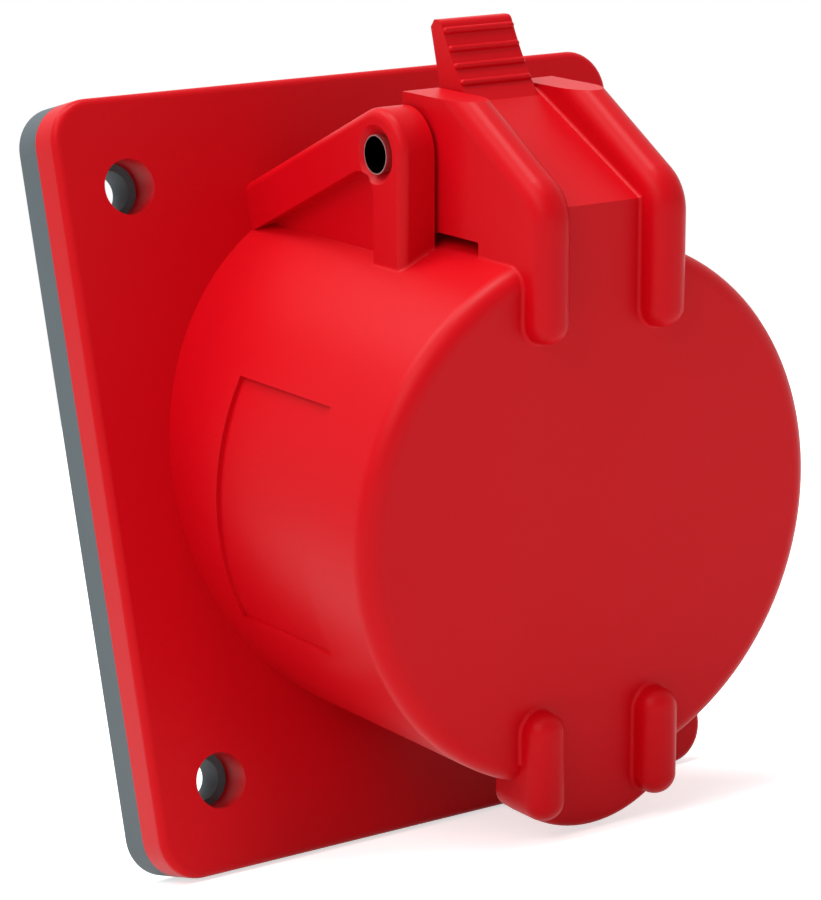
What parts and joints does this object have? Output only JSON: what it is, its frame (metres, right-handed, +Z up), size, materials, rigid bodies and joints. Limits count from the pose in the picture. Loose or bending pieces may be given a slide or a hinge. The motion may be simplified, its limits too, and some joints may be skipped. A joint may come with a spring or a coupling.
{
  "type": "industrial panel socket",
  "caption": "Angled industrial panel socket: square-cornered flange on a gasket, round leaning collar with a plug well, and a spring-closed hinged lid.",
  "frame": {"origin": "centre of the mounting face, the back of the gasket", "axes": "+Z up, +Y into the panel, -Y the way the socket faces, +X right seen from the front"},
  "size_m": [0.0878, 0.1004, 0.1025],
  "materials": {
    "housing_red": "satin moulded",
    "lid_red": "satin moulded",
    "gasket_grey": "matt foam rubber",
    "seal_rubber": "matt",
    "pin_steel": "drawn tube",
    "spring_steel": "drawn wire",
    "screw_steel": "zinc plated",
    "insert_grey": "moulded",
    "insert_black": "moulded",
    "contact_brass": "turned"
  },
  "bodies": {
    "socket": {"front_housing": "housing_red", "flange_gasket": "gasket_grey", "hinge_pin": "pin_steel", "lid_spring": "spring_steel", "contact_carrier": "insert_grey", "carrier_seal": "seal_rubber", "terminal_carrier": "insert_black", "terminal_screws": "screw_steel", "carrier_screws": "screw_steel", "centre_screw": "screw_steel", "contact_sleeve_l1": "contact_brass", "spring_ring_l1": "spring_steel", "contact_sleeve_l2": "contact_brass", "spring_ring_l2": "spring_steel", "contact_sleeve_l3": "contact_brass", "spring_ring_l3": "spring_steel", "contact_sleeve_n": "contact_brass", "spring_ring_n": "spring_steel", "contact_sleeve_pe": "contact_brass", "spring_ring_pe": "spring_steel"},
    "lid": {"lid": "lid_red", "lid_seal": "seal_rubber"}
  },
  "joints": [
    {"name": "lid_hinge", "type": "hinge", "parent": "socket", "child": "lid", "pos_m": [0, -0.04058, 0.03667], "axis": [-1, 0, 0], "range_deg": [0, 106], "stiffness_Nm_per_rad": 0.05, "springref_deg": -60, "deforming": ["lid_spring"]}
  ]
}
